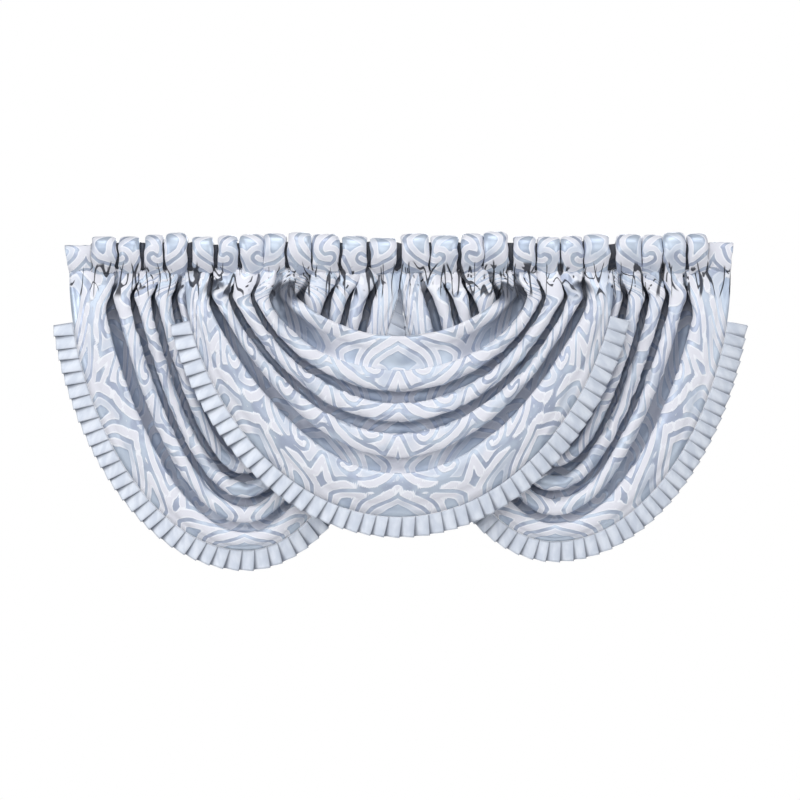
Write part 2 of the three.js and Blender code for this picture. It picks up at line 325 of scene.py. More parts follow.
class Cloth:
    """A grid of cloth points that becomes one closed sheet of real thickness."""

    def __init__(self, name: str, points: Array, thickness: float, closes: bool = False) -> None:
        """Keeps the grid, with its flat coordinates and its marks still at zero.

        Args:
            name: the piece's name.
            points: the cloth's middle surface in millimetres, rows of columns of x, y and z. Rows go
                down the cloth and columns from left to right, as seen from the front.
            thickness: of the cloth, in millimetres.
            closes: true where the last row meets the first, as round a tube.
        """
        self.name = name
        self.points = points
        self.thickness = thickness
        self.closes = closes
        flat = points.shape[:2]
        self.along, self.down = np.zeros(flat), np.zeros(flat)
        # Marks for painted colour: shade in the folds, shadow in grooves and creases, and where the necks
        # crinkle
        self.depth, self.crease, self.neck = np.zeros(flat), np.zeros(flat), np.zeros(flat)

    @staticmethod
    def normals(points: Array) -> Array:
        """Works out the way that the front of a grid of cloth faces.

        Args:
            points: rows of columns of x, y and z.

        Returns:
            A unit vector at each point.
        """
        sideways = np.gradient(points, axis=1)
        downwards = np.gradient(points, axis=0)
        facing = np.cross(downwards, sideways)
        return facing / np.maximum(np.linalg.norm(facing, axis=2, keepdims=True), 1e-9)

    def raise_by(self, height: Array) -> None:
        """Moves each point out along the way that the cloth faces, by height in millimetres."""
        self.points = self.points + self.normals(self.points) * height[..., None]

    def measure(self, middle: int, follow: float) -> None:
        """Works out where each point lies on the flat cloth, before it was gathered or draped.

        Args:
            middle: the column on the axis, from which lengths along the cloth are taken. Lengths
                down the cloth are taken from its last row, which is the sewn edge of a swag.
            follow: 1 where each row and column keeps its own length, and 0 where all share the mean
                one's, which squeezes short ones and stretches long ones.
        """
        steps = np.linalg.norm(np.diff(self.points, axis=1), axis=2)
        lengths = np.hstack((np.zeros((len(steps), 1)), np.cumsum(steps, axis=1)))
        own = lengths - lengths[:, middle:middle + 1]
        self.along = mix(own.mean(axis=0)[None, :], own, follow)
        drops = np.linalg.norm(np.diff(self.points, axis=0), axis=2)
        lengths = np.vstack((np.zeros((1, drops.shape[1])), np.cumsum(drops, axis=0)))
        own = lengths - lengths[-1:]
        self.down = mix(own.mean(axis=1)[:, None], own, follow)

    def build(self, pattern: Damask | None, pattern_start: float) -> Object:
        """Makes the mesh, with its flat coordinates as a UV map and its woven pattern as attributes.

        Args:
            pattern: the woven pattern, or None on plain cloth.
            pattern_start: how far down the flat cloth a motif's middle lies, in millimetres.

        Returns:
            The finished object, at the origin.
        """
        rows, columns = self.points.shape[:2]
        cloth = bmesh.new()
        bmesh.ops.create_grid(cloth, x_segments=columns - 1, y_segments=rows - 1, size=1.0)
        places = self.points[::-1].reshape(-1, 3) * MM
        for vertex, place in zip(cloth.verts, places):
            vertex.co = place
        flat = np.stack((self.along, self.down), axis=2)[::-1].reshape(-1, 2) * MM
        layer = cloth.loops.layers.uv.new("flat")
        for face in cloth.faces:
            for loop in face.loops:
                loop[layer].uv = flat[loop.vert.index]
            face.smooth = True
        # The marks go on as attributes, from which the finishes paint shade and shadow into the colour
        marks = {"depth": self.depth, "crease": self.crease, "neck": self.neck}
        if pattern is not None:
            marks["scroll"] = pattern.distance(self.along, self.down - pattern_start)
        for label, grid in marks.items():
            value = cloth.verts.layers.float.new(label)
            for vertex, mark in zip(cloth.verts, grid[::-1].ravel()):
                vertex[value] = mark
        if self.closes:
            bmesh.ops.remove_doubles(cloth, verts=cloth.verts, dist=1e-6)
        piece = finished(self.name, cloth)
        solidify = piece.modifiers.new("cloth thickness", "SOLIDIFY")
        solidify.thickness = self.thickness * MM
        solidify.offset = 0.0
        return piece


@dataclass(frozen=True)
class Fold:
    """One line of a swag, from end to end of it, as in the solids.

    left and right are its reach from the axis at the seam, drop its lowest point below the origin,
    taper 0.5 for an elliptic U and 1 for a parabolic one, side and middle how far the cloth stands
    forward there, neck the share of the gathers' draw that reaches it, and steps the strips of cloth
    from the line above.
    """

    name: str
    lie: Lie
    left: float
    right: float
    drop: float
    taper: float
    side: float
    middle: float
    neck: float
    steps: int


CENTRE_FOLDS = (
    Fold("turned lip", Lie.FLAT, 181, 181, 168, 0.75, -5, -4, 1, 0),
    Fold("top roll", Lie.FLAT, 184, 184, 161, 0.75, 6, 5, 1, 1),
    Fold("top panel", Lie.VALLEY, 208, 206, 200, 0.53, -9, 3, 1, 2),
    Fold("upper ridge", Lie.RIDGE, 223, 221, 235, 0.6, 9, 9, 1, 3),
    Fold("upper valley", Lie.VALLEY, 238, 236, 253, 0.67, -9, -6, 1, 3),
    Fold("middle ridge", Lie.RIDGE, 256, 254, 284, 0.72, 9, 8, 1, 3),
    Fold("middle valley", Lie.VALLEY, 275, 273, 300, 0.78, -9, -6, 1, 3),
    Fold("lower ridge", Lie.RIDGE, 293, 291, 334, 0.87, 9, 8, 1, 3),
    Fold("lower valley", Lie.VALLEY, 311, 308, 360, 0.96, -9, -4, 1, 3),
    Fold("border", Lie.RIDGE, 323, 322, 396, 0.76, 5, 4, 0.5, 2),
    Fold("sewn edge", Lie.FLAT, 336, 338, 443, 0.59, 0, -3, 0, 1),
)

SIDE_FOLDS = (
    Fold("turned lip", Lie.FLAT, 97, 56, 334, 0.95, -5, -5, 1, 0),
    Fold("top roll", Lie.FLAT, 106, 65, 325, 0.95, 3, 6, 1, 1),
    Fold("top panel", Lie.VALLEY, 121, 92, 347, 0.95, -8, -5, 1, 2),
    Fold("upper ridge", Lie.RIDGE, 137, 116, 366, 0.95, 8, 8, 1, 3),
    Fold("upper valley", Lie.VALLEY, 154, 138, 381, 0.95, -8, -7, 1, 3),
    Fold("middle ridge", Lie.RIDGE, 170, 155, 405, 0.94, 8, 8, 1, 3),
    Fold("middle valley", Lie.VALLEY, 186, 170, 420, 0.93, -8, -6, 1, 3),
    Fold("lower ridge", Lie.RIDGE, 203, 185, 442, 0.9, 8, 8, 1, 3),
    Fold("lower valley", Lie.VALLEY, 219, 200, 461, 0.87, -8, -4, 1, 3),
    Fold("border", Lie.RIDGE, 248, 216, 480, 0.7, 4, 6, 0.5, 2),
    Fold("sewn edge", Lie.FLAT, 278, 228, 497, 0.57, 0, -3, 0, 1),
)


@dataclass(frozen=True)
class SwagEnd:
    """One gathered end of a swag.

    draw_folds and draw_edge are how far the gathers draw the folds and the sewn edge in at the seam,
    trim_end the height where the trim ends, turn how far that end of the trim turns back, in radians,
    taper the length over which it narrows and narrowest the share of its width at its end.
    """

    draw_folds: float
    draw_edge: float
    trim_end: float
    turn: float
    taper: float = 0.0
    narrowest: float = 0.04

    def narrowed(self, off: Array) -> Array:
        """The share of the trim's width that shows near this end of it.

        Args:
            off: each point's distance from this end, in millimetres.

        Returns:
            The share at each point, from narrowest to 1.
        """
        if self.taper == 0.0:
            return np.ones(off.shape)
        return np.clip(off / self.taper, self.narrowest, 1.0)


# The lines of a swag as columns of numbers, a row of cloth each, ready to be laid out together
Lines = dict[str, Array]


@dataclass
class Swag:
    """One draped panel of jacquard and the U of folds that it hangs in."""

    side: Side
    folds: tuple[Fold, ...]
    axis: float
    seam_out: float
    forward: float
    rise: float
    seed: float
    left_end: SwagEnd
    right_end: SwagEnd
    mirrored: bool = False
    settle: float = 1.0
    pattern_start: float = 0.0
    flat: tuple[float, float] = (1.05, 0.25)

    columns: int = 296
    rows_per_step: int = 6
    guide_steps: int = 4
    guide_places: int = 1441
    thickness: float = 0.9
    ridge_rise: float = 1.15
    valley_sink: float = 2.7
    fold_lean: float = 0.05
    fold_tuck: float = 0.23
    seam_fold_share: float = 0.42
    fold_deepens: float = 40.0
    fold_closes: float = 0.4
    close_drop: float = 66.0
    fold_neck_drop: float = 36.0
    edge_neck_drop: float = 110.0
    middle_power: int = 6
    tuck_up: float = 9.0
    tuck_out: float = 4.0
    uneven_reach: float = 0.008
    reach_step: float = 0.7
    uneven_depth: float = 0.14
    depth_waves: int = 3
    depth_step: float = 0.9
    # How far into a fold counts as full painted valley shade, and how many rows up and down a ridge is
    # looked for
    full_depth: float = 26.0
    depth_rows: int = 36
    crinkle_drop: float = 32.0
    seam_drop: float = 13.0
    # How far down and how dark the painted shadow in the valleys reaches
    shadow_drop: float = 82.0
    shadow_dark: float = 0.75
    smooth_drop: float = 60.0
    # How far into a fold the painted shadow starts
    groove_depth: float = 0.44
    neck_density: float = 1.3
    neck_height: float = 50.0
    pattern_follow: float = 0.75
    seam_rise: Ripple = Ripple(13.0, 1.0, 17.0, 4.6)
    bumps: tuple[Ripple, ...] = (Ripple(1.3, 34.0, 80.0, 11.3), Ripple(0.7, 13.0, 27.0, 17.6))
    wander: tuple[Ripple, ...] = (
        Ripple(3.4, 52.0, 42.0, 5.3),
        Ripple(2.6, 30.0, 15.0, 8.1),
        Ripple(1.3, 24.0, 7.0, 3.7),
    )

    @property
    def node(self) -> str:
        """The node that this swag stands for."""
        return f"swag_{self.side.value}"

    @property
    def name(self) -> str:
        """The finished panel's name."""
        return f"{self.node}_cloth"

    def line(self, upper: Fold, lower: Fold, share: float, index: float) -> dict[str, float]:
        """One line between two named folds.

        Args:
            upper: the fold above it.
            lower: the fold below it.
            share: how far down it lies between them, from 0 to 1.
            index: the steps of cloth above it, which set its part of the unevenness.

        Returns:
            The line's row of Lines.
        """
        gains = {Lie.RIDGE: self.ridge_rise, Lie.VALLEY: self.valley_sink, Lie.FLAT: 1.0}
        turned = (upper.lie.value - lower.lie.value) / 2
        shifted = share + self.fold_lean * turned * math.sin(math.pi * share)
        shifted += self.fold_tuck * abs(turned) * math.sin(2 * math.pi * share)
        closes = self.fold_closes * turned * math.sin(math.pi * share)
        row = {"index": index}
        for name in ("left", "right", "drop", "taper", "neck"):
            row[name] = mix(getattr(upper, name), getattr(lower, name), shifted)
        for name in ("left", "right"):
            row[f"close_{name}"] = closes * (getattr(lower, name) - getattr(upper, name))
        for name in ("side", "middle"):
            start = getattr(upper, name) * gains[upper.lie]
            end = getattr(lower, name) * gains[lower.lie]
            row[name] = mix(start, end, float(ease(share)))
        return row

    def lines(self) -> Lines:
        """Fills in the lines between the named folds, with broad ridges and narrower valleys.

        Returns:
            All the lines, from the turned lip down to the sewn edge.
        """
        rows = [self.line(self.folds[0], self.folds[0], 0.0, 0.0)]
        passed = 0
        for upper, lower in zip(self.folds, self.folds[1:]):
            count = lower.steps * self.rows_per_step
            for step in range(1, count + 1):
                share = step / count
                rows.append(self.line(upper, lower, share, passed + share * lower.steps))
            passed += lower.steps
        return {name: np.array([row[name] for row in rows]) for name in rows[0]}

    def points(self, lines: Lines, turns: Array) -> Array:
        """Lays the lines out in space, with the same formula as the solids.

        Args:
            lines: the lines of cloth.
            turns: places along each line, from 0 at its left end at the seam to pi at its right end.

        Returns:
            Rows of columns of x, y and z, in millimetres.
        """
        turn = turns[None, :]
        is_left = turn < math.pi / 2
        column = {name: values[:, None] for name, values in lines.items()}
        bow = np.sin(turn)
        wave = np.sin(self.reach_step * column["index"] + self.seed)
        fall = (column["drop"] * self.settle + SEAM_Z) * bow ** (2 * column["taper"])
        closed = 1 - ease(fall / self.close_drop)
        reach = np.where(
            is_left != self.mirrored,
            column["left"] + column["close_left"] * closed,
            column["right"] + column["close_right"] * closed,
        )
        reach = reach * (1 + self.uneven_reach * wave * bow**2)

        neck_drop = mix(self.edge_neck_drop, self.fold_neck_drop, column["neck"])
        draw_left, draw_right = (
            mix(end.draw_edge, end.draw_folds, column["neck"]) for end in (self.left_end, self.right_end)
        )
        drawn = np.where(is_left, draw_left, draw_right) * (1 - ease(fall / neck_drop))
        across = reach * np.abs(np.cos(turn)) - drawn

        deepened = mix(self.seam_fold_share, 1.0, ease(fall / self.fold_deepens))
        phase = self.depth_waves * turn + self.depth_step * column["index"] + self.seed
        uneven = 1 + self.uneven_depth * np.sin(phase)
        stands = mix(column["side"], column["middle"], bow**self.middle_power) * deepened * uneven
        out = self.seam_out + self.forward * ease(fall / self.rise) + stands
        return np.stack((self.axis + np.where(is_left, -across, across), -out, SEAM_Z - fall), axis=2)

    def depth(self, points: Array) -> Array:
        """Works out how far into a fold each point lies: the mask of the painted valley shade.

        Args:
            points: the panel, as rows of columns of x, y and z, in millimetres.

        Returns:
            How far into a fold each point lies, from 0 on a ridge to 1 on the floor of a valley.
        """
        out = -points[..., 1]
        padded = np.pad(out, ((self.depth_rows, self.depth_rows), (0, 0)), mode="edge")
        windows = np.lib.stride_tricks.sliding_window_view(padded, 2 * self.depth_rows + 1, axis=0)
        return np.clip((windows.max(axis=2) - out) / self.full_depth, 0.0, 1.0)

    def turns(self, lines: Lines) -> Array:
        """Places of the columns: equal steps of cloth on a lower line, closer together in the necks.

        Args:
            lines: the lines of cloth.

        Returns:
            The places, from 0 to pi, as points() takes them.
        """
        row = len(lines["index"]) - self.guide_steps * self.rows_per_step
        guide_line = {name: values[row:row + 1] for name, values in lines.items()}
        dense = np.linspace(0.0, math.pi, self.guide_places)
        guide = self.points(guide_line, dense)[0]
        steps = np.linalg.norm(np.diff(guide, axis=0), axis=1)
        fall = SEAM_Z - (guide[1:, 2] + guide[:-1, 2]) / 2
        weighed = steps * (1 + self.neck_density * np.exp(-((fall / self.neck_height) ** 2)))
        passed = np.concatenate(([0.0], np.cumsum(weighed)))
        return np.interp(np.linspace(0.0, passed[-1], self.columns + 1), passed, dense)

    def wrinkle(self, cloth: Cloth) -> None:
        """Adds what the table of folds leaves out: crinkles in the necks and soft uneven places.

        Args:
            cloth: the measured panel, whose points and marks it changes.
        """
        x = cloth.points[..., 0]
        z = cloth.points[..., 2]
        fall = np.maximum(SEAM_Z - z, 0.0)
        neck, top, body, shadow = (
            np.exp(-((fall / drop) ** 2))
            for drop in (self.crinkle_drop, self.seam_drop, self.smooth_drop, self.shadow_drop)
        )
        body = 1 - body
        height = crinkled(x, z) * neck
        for layer in self.bumps:
            height += layer.over(cloth.down, cloth.along, self.seed) * body
        cloth.raise_by(height)
        self.sway(cloth, body)
        cloth.points[..., 2] += np.abs(self.seam_rise.over(np.zeros(x.shape), x)) * top
        cloth.neck = neck
        # Mask of the near-black shadow painted into the floors of valleys, strongest in the necks and
        # fading down the swag
        shadow = np.maximum(neck, self.shadow_dark * shadow)
        cloth.crease = shadow * ease((cloth.depth - self.groove_depth) / self.groove_depth)

    def sway(self, cloth: Cloth, body: Array) -> None:
        """Makes the folds wander a little up and down the cloth, but not its top or its sewn edge.

        Args:
            cloth: the panel, whose points it changes.
            body: 0 at the pinch seam to 1 well below it, at each point.
        """
        inside = np.sin(np.linspace(0.0, math.pi, len(cloth.points)))[:, None] ** 0.5
        shift = sum(layer.over(cloth.down, cloth.along, self.seed) for layer in self.wander)
        downwards = np.gradient(cloth.points, axis=0)
        downwards[..., 1] = 0.0
        downwards /= np.maximum(np.linalg.norm(downwards, axis=2, keepdims=True), 1e-6)
        cloth.points = cloth.points + downwards * (shift * body * inside)[..., None]

    def tucked(self, points: Array) -> Array:
        """Adds a column at each end, where the gathers go up behind the pocket's puffs.

        Args:
            points: the panel, as rows of columns of x, y and z, in millimetres.

        Returns:
            The same rows with two more columns.
        """
        left = points[:, :1].copy()
        right = points[:, -1:].copy()
        for end in (left, right):
            end[..., 1] = -self.tuck_out
            end[..., 2] += self.tuck_up
        return np.concatenate((left, points, right), axis=1)

    def drape(self) -> Cloth:
        """Drapes the whole panel, with its folds and wrinkles.

        Returns:
            The panel's grid of cloth.
        """
        lines = self.lines()
        turns = self.turns(lines)
        cloth = Cloth(self.name, self.tucked(self.points(lines, turns)), self.thickness)
        middle = 1 + int(np.argmin(np.abs(turns - math.pi / 2)))
        cloth.measure(middle, self.pattern_follow)
        # How far into a fold each point lies, which sets the shade painted into the valleys
        cloth.depth = self.depth(cloth.points)
        self.wrinkle(cloth)
        return cloth

    def build(self, cloth: Cloth, pattern: Damask, finish: Material) -> Object:
        """Args:
            cloth: the panel's grid, from drape().
            pattern: the woven pattern.
            finish: the jacquard's material.

        Returns:
            The finished panel.
        """
        piece = cloth.build(pattern, self.pattern_start)
        piece.data.materials.append(finish)
        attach(piece, "root")
        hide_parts(self.node)
        RodPocket.name
        return piece


@dataclass
class PleatedTrim:
    """The knife-pleated band of satin along one swag's sewn edge.

    Each point of section is a place along the pleat, as a share of the pitch, a lift off the cloth, in
    millimetres, and how dark it is, up to 1 in the shadow under the fold.
    """

    swag: Swag
    pleats: int
    flat: tuple[float, float] = (2.1, 0.032)

    width: float = 31.5
    rows: int = 10
    thickness: float = 0.5
    seam_lift: float = 0.45
    edge_lift: float = 1.35
    opens: float = 0.2
    opens_from: float = 0.3
    # Share of the painted shadow under the folds that shows at the sewn line
    seam_dark: float = 0.8
    turn_length: float = 150.0
    uneven_pitch: float = 0.05
    uneven_lean: float = 0.07
    # Painted shade on the narrowed, turned ends of the trim
    turned_end_shade: float = 1.1
    edge_tilt: float = 0.06
    # Painted shadow along the sewn line, and how far down it reaches
    seam_shadow: float = 0.4
    seam_rows: float = 0.12
    section: tuple[tuple[float, float, float], ...] = (
        (0.0, 0.0, 0.8), (0.2, 0.6, 0.1), (0.52, 1.5, 0.0), (0.76, 2.15, 0.08), (0.95, 2.7, 0.2),
        (1.04, 2.9, 0.35), (1.08, 2.7, 1.0), (1.05, 2.4, 1.0), (0.9, 1.85, 1.0), (0.72, 1.2, 1.0),
        (0.64, 0.95, 1.0), (0.61, 0.7, 1.0), (0.65, 0.4, 1.0), (0.8, 0.1, 1.0),
    )

    @property
    def node(self) -> str:
        """The node that this trim stands for."""
        return f"trim_{self.swag.side.value}"

    @property
    def name(self) -> str:
        """The finished band's name."""
        return f"{self.node}_pleats"

    def edge(self, cloth: Cloth) -> tuple[Array, Array]:
        """Finds the part of a panel's sewn edge that has a trim.

        Args:
            cloth: the panel's grid of cloth.

        Returns:
            The points of that part, and how far along it each one lies, in millimetres.
        """
        edge = cloth.points[-1]
        lowest = int(np.argmin(edge[:, 2]))
        first = int(np.argmax(edge[:, 2] <= self.swag.left_end.trim_end))
        last = lowest + int(np.argmax(edge[lowest:, 2] >= self.swag.right_end.trim_end))
        edge = edge[first:last + 1]
        steps = np.linalg.norm(np.diff(edge, axis=0), axis=1)
        return edge, np.concatenate(([0.0], np.cumsum(steps)))

    def pleated(self, whole: float, down: Array) -> tuple[Array, ...]:
        """Folds the band into uneven pleats.

        Args:
            whole: the length of the edge that it follows, in millimetres.
            down: each row's place from the sewn line, 0, to the free edge, 1, as one column.

        Returns:
            Each point's place along the edge, its lift off the cloth and its shadow, in rows of
            columns, and the share of the width that each column reaches.
        """
        spread = np.random.default_rng(int(self.swag.seed * 10))
        pitch_off = spread.uniform(-self.uneven_pitch, self.uneven_pitch, self.pleats + 1)
        lean_off = spread.uniform(-self.uneven_lean, self.uneven_lean, self.pleats + 1)
        pitch_off[0] = pitch_off[-1] = 0.0
        along, lift, dark = np.tile(np.array(self.section).T, self.pleats)
        pleat = np.repeat(np.arange(self.pleats), len(self.section))
        opened = 1.0 - self.opens * down * (along > self.opens_from)
        shift = mix(pitch_off[pleat], pitch_off[pleat + 1], np.minimum(1.0, along))
        leaned = lean_off[pleat] * down * np.minimum(1.0, along * 2)
        place = (pleat + shift + along * opened + leaned) * (whole / self.pleats)
        place = np.clip(np.hstack((place, np.full(down.shape, whole))), 0.0, whole)
        raised = np.append(lift, 0.0) * mix(self.seam_lift, self.edge_lift, down)
        # Painted shadow along the sewn line and under each pleat's fold
        sewn = self.seam_shadow * (1 - ease(down / self.seam_rows))
        shadow = np.maximum(sewn, np.append(dark, 0.0) * mix(self.seam_dark, 1.0, down))
        tilt = np.append(1 + self.edge_tilt * (along - 0.5), 1.0)
        return place, raised, shadow, tilt

    def drape(self, cloth: Cloth) -> Cloth:
        """Folds the band along the sewn edge of a panel.

        Args:
            cloth: the panel's grid of cloth.

        Returns:
            The band as a grid of cloth.
        """
        edge, passed = self.edge(cloth)
        whole = passed[-1]
        tangent = np.gradient(edge, axis=0)
        outward = np.stack((tangent[:, 2], np.zeros(len(edge)), -tangent[:, 0]), axis=1)
        outward /= np.linalg.norm(outward, axis=1, keepdims=True)
        down = np.linspace(0.0, 1.0, self.rows + 1)[:, None]
        place, lift, shadow, tilt = self.pleated(whole, down)

        start, away = (
            np.stack([np.interp(place, passed, line[:, axis]) for axis in range(3)], axis=2)
            for line in (edge, outward)
        )
        away /= np.linalg.norm(away, axis=2, keepdims=True)
        left, right = self.swag.left_end, self.swag.right_end
        turn = left.turn * (1 - ease(place / self.turn_length))
        turn = turn + right.turn * (1 - ease((whole - place) / self.turn_length))
        reach = away * np.cos(turn)[..., None]
        reach[..., 1] += np.sin(turn)
        shown = left.narrowed(place) * right.narrowed(whole - place)
        points = start + away * SEAM_GAP + reach * (self.width * down * shown * tilt)[..., None]
        points[..., 1] -= lift
        band = Cloth(self.name, points, self.thickness)
        band.measure(points.shape[1] // 2, 1.0)
        # One mask for the painted shadow under the folds and the painted shade on the turned ends
        band.depth = np.clip(np.maximum(shadow, self.turned_end_shade * (1 - shown**2)), 0.0, 1.0)
        return band

    def build(self, cloth: Cloth, finish: Material) -> Object:
        """Args:
            cloth: the panel's grid of cloth.
            finish: the satin's material.

        Returns:
            The finished band.
        """
        piece = self.drape(cloth).build(None, 0.0)
        piece.data.materials.append(finish)
        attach(piece, "root")
        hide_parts(self.node)
        self.swag.name
        return piece


@dataclass(frozen=True)
class Puff:
    """One gathered puff of the pocket: its middle, its width and how high its crown stands."""

    middle: float
    width: float
    crown: float


PUFFS = tuple(
    Puff(*row)
    for row in (
        (-466, 36, -2), (-426, 31, -2), (-387, 27, 1), (-352, 32, 4), (-310, 29, -2), (-271, 30, 0),
        (-233, 34, 2), (-198, 32, 3), (-158, 34, 5), (-117, 40, 2), (-72, 36, -1), (-27, 38, -4),
        (24, 41, 3), (70, 40, 0), (114, 32, 3), (151, 36, 6), (196, 32, -1), (234, 34, -2),
        (271, 32, -1), (310, 37, 2), (360, 38, 2), (397, 30, 1), (432, 33, 5), (469, 30, 3),
    )
)


@dataclass(frozen=True)
class FlatEnd:
    """One flat, open end of the pocket: its tip, its top and how far its edge slopes in by the seam."""

    tip: float
    top: float
    slope: float


@dataclass
class RodPocket:
    """The gathered heading: a tube of jacquard with a row of puffs and a flat open end on each side.

    section goes up the front from the seam, over the top and down the back. Each pair is a height, as
    a share of the way from seam to crown, and an out, as a share of the fullness there.
    """

    puffs: tuple[Puff, ...] = PUFFS
    left: FlatEnd = FlatEnd(-530, -16, 10)
    right: FlatEnd = FlatEnd(527, -11, -8)
    flat: tuple[float, float] = (1.5, 0.16)

    puff_out: float = 23.0
    puff_back: float = 14.0
    groove_out: float = 7.5
    groove_back: float = 8.0
    groove_top: float = -12.0
    flat_out: float = 9.0
    flat_back: float = 8.0
    flat_full: float = -1.0
    flat_gap: float = 2.0
    squareness: float = 3.7
    overhang: float = 1.2
    scallop: float = 7.5
    hem: Ripple = Ripple(9.0, 1.0, 27.0, 1.3)
    top_shape: float = 0.62
    crinkle_height: float = 0.3
    smooth_height: float = 0.2
    # Fullness below which the grooves get painted shade
    groove_full: float = 0.42
    puff_lift: Ripple = Ripple(0.07, 1.0, 17.0, 2.4)
    groove_dip: Ripple = Ripple(6.0, 1.0, 31.0, 6.2)
    bumps: Ripple = Ripple(0.8, 30.0, 19.0, 9.0)
    edges: Ripple = Ripple(2.6, 16.0, 13.0, 14.5)
    puff_columns: int = 16
    end_columns: int = 14
    ring_rows: int = 84
    ring_height: float = 66.0
    ring_depth: float = 18.0
    roundings: int = 3
    thickness: float = 0.9
    pattern_start: float = 40.0
    name: str = "rod_pocket_cloth"
    section: tuple[tuple[float, float], ...] = (
        (0.0, 0.24), (0.1, 0.44), (0.25, 0.72), (0.45, 0.94), (0.6, 1.0), (0.75, 0.97), (0.88, 0.8),
        (0.98, 0.42), (1.0, 0.0), (0.98, -0.5), (0.85, -0.9), (0.6, -1.0), (0.3, -0.95),
        (0.08, -0.6), (0.0, -0.15), (0.0, 0.24),
    )

    def ring(self) -> tuple[Array, Array]:
        """Spaces the points of the section evenly and rounds its corners.

        Returns:
            The heights and the outs of the points.
        """
        height, out = np.array(self.section).T
        steps = np.hypot(np.diff(height) * self.ring_height, np.diff(out) * self.ring_depth)
        passed = np.concatenate(([0.0], np.cumsum(steps)))
        share = np.linspace(0.0, passed[-1], self.ring_rows + 1)
        return self.rounded(np.interp(share, passed, height)), self.rounded(np.interp(share, passed, out))

    def rounded(self, values: Array) -> Array:
        """Rounds the corners of a closed run of values.

        Args:
            values: the run, whose last value is its first again.

        Returns:
            The rounded run, closed in the same way.
        """
        ring = values[:-1]
        for _ in range(self.roundings):
            ring = (np.roll(ring, 1) + 2 * ring + np.roll(ring, -1)) / 4
        return np.append(ring, ring[0])

    def stations(self) -> Array:
        """Sets out the sections along the pocket, from its left tip to its right one.

        Returns:
            Rows of place, fullness, crown and lean. The fullness is 1 on top of a puff, 0 in a groove
            and flat_full on the flat ends.
        """
        stations: list[tuple[float, float, float, float]] = []
        first = self.puffs[0].middle - self.puffs[0].width / 2 - self.flat_gap
        last = self.puffs[-1].middle + self.puffs[-1].width / 2 + self.flat_gap
        for share in np.linspace(0.0, 1.0, self.end_columns, endpoint=False):
            lean = self.left.slope * (1 - share)
            stations.append((mix(self.left.tip, first, share), self.flat_full, self.left.top, lean))
        for puff in self.puffs:
            for angle in np.linspace(0.0, math.pi, self.puff_columns + 1):
                share = -math.copysign(abs(math.cos(angle)) ** (2 / self.squareness), math.cos(angle))
                full = abs(math.sin(angle)) ** (2 / self.squareness)
                bulge = self.overhang * math.sin(math.pi * full) * math.copysign(1.0, share)
                stations.append((puff.middle + share * puff.width / 2 + bulge, full, puff.crown, 0.0))
        for share in np.linspace(1.0, 0.0, self.end_columns, endpoint=False)[::-1]:
            lean = self.right.slope * share
            stations.append((mix(self.right.tip, last, 1 - share), self.flat_full, self.right.top, lean))
        return np.array(stations).T

    def drape(self) -> Cloth:
        """Drapes the whole pocket, with its puffs and creases.

        Returns:
            The pocket's closed grid of cloth.
        """
        along, fullness, crown, lean = self.stations()
        height, out = (values[::-1, None] for values in self.ring())
        is_flat = fullness < 0
        full = np.clip(fullness, 0.0, 1.0)
        none = np.zeros(full.shape)
        front = np.where(is_flat, self.flat_out, mix(self.groove_out, self.puff_out, full))
        front = front * (1 + self.puff_lift.over(none, along))
        back = np.where(is_flat, self.flat_back, mix(self.groove_back, self.puff_back, full))
        groove_top = self.groove_top + self.groove_dip.over(none, along)
        top = np.where(is_flat, crown, mix(groove_top, crown, full**self.top_shape))
        hem = mix(self.scallop, np.abs(self.hem.over(none, along)), full)
        bottom = POCKET_BOTTOM + self.thickness / 2 + np.where(is_flat, 0.0, hem)
        x = along + lean * (1 - height)
        y = -out * np.where(out > 0, front, back)
        z = mix(bottom, top - self.thickness / 2, height)
        cloth = Cloth(self.name, np.stack((x, y, z), axis=2), self.thickness, closes=True)
        cloth.measure(cloth.points.shape[1] // 2, 0.0)
        self.wrinkle(cloth, height, np.where(is_flat, 1.0, full))
        return cloth

    def wrinkle(self, cloth: Cloth, height: Array, full: Array) -> None:
        """Adds the gathers that fan up from the pinch seam, painted shade in the grooves and small uneven
        places.

        Args:
            cloth: the pocket, whose points and marks it changes.
            height: each row's height, as a share of the way from seam to crown, as one column.
            full: each column's fullness, and 1 on the flat ends.
        """
        x = cloth.points[..., 0]
        z = cloth.points[..., 2]
        low = np.broadcast_to(np.exp(-((height / self.crinkle_height) ** 2)), x.shape)
        uneven = self.bumps.over(z, x) * ease(height / self.smooth_height)
        cloth.raise_by(crinkled(x, z) * low + uneven)
        cloth.points[..., 0] += self.edges.over(z, x)
        cloth.neck = low
        # Paints near-black shade into the grooves between the puffs
        cloth.crease = np.broadcast_to(ease((self.groove_full - full) / self.groove_full), x.shape)

    def build(self, pattern: Damask, finish: Material) -> Object:
        """Args:
            pattern: the woven pattern.
            finish: the jacquard's material.

        Returns:
            The finished pocket.
        """
        piece = self.drape().build(pattern, self.pattern_start)
        piece.data.materials.append(finish)
        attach(piece, "root")
        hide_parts("rod_pocket")
        return piece


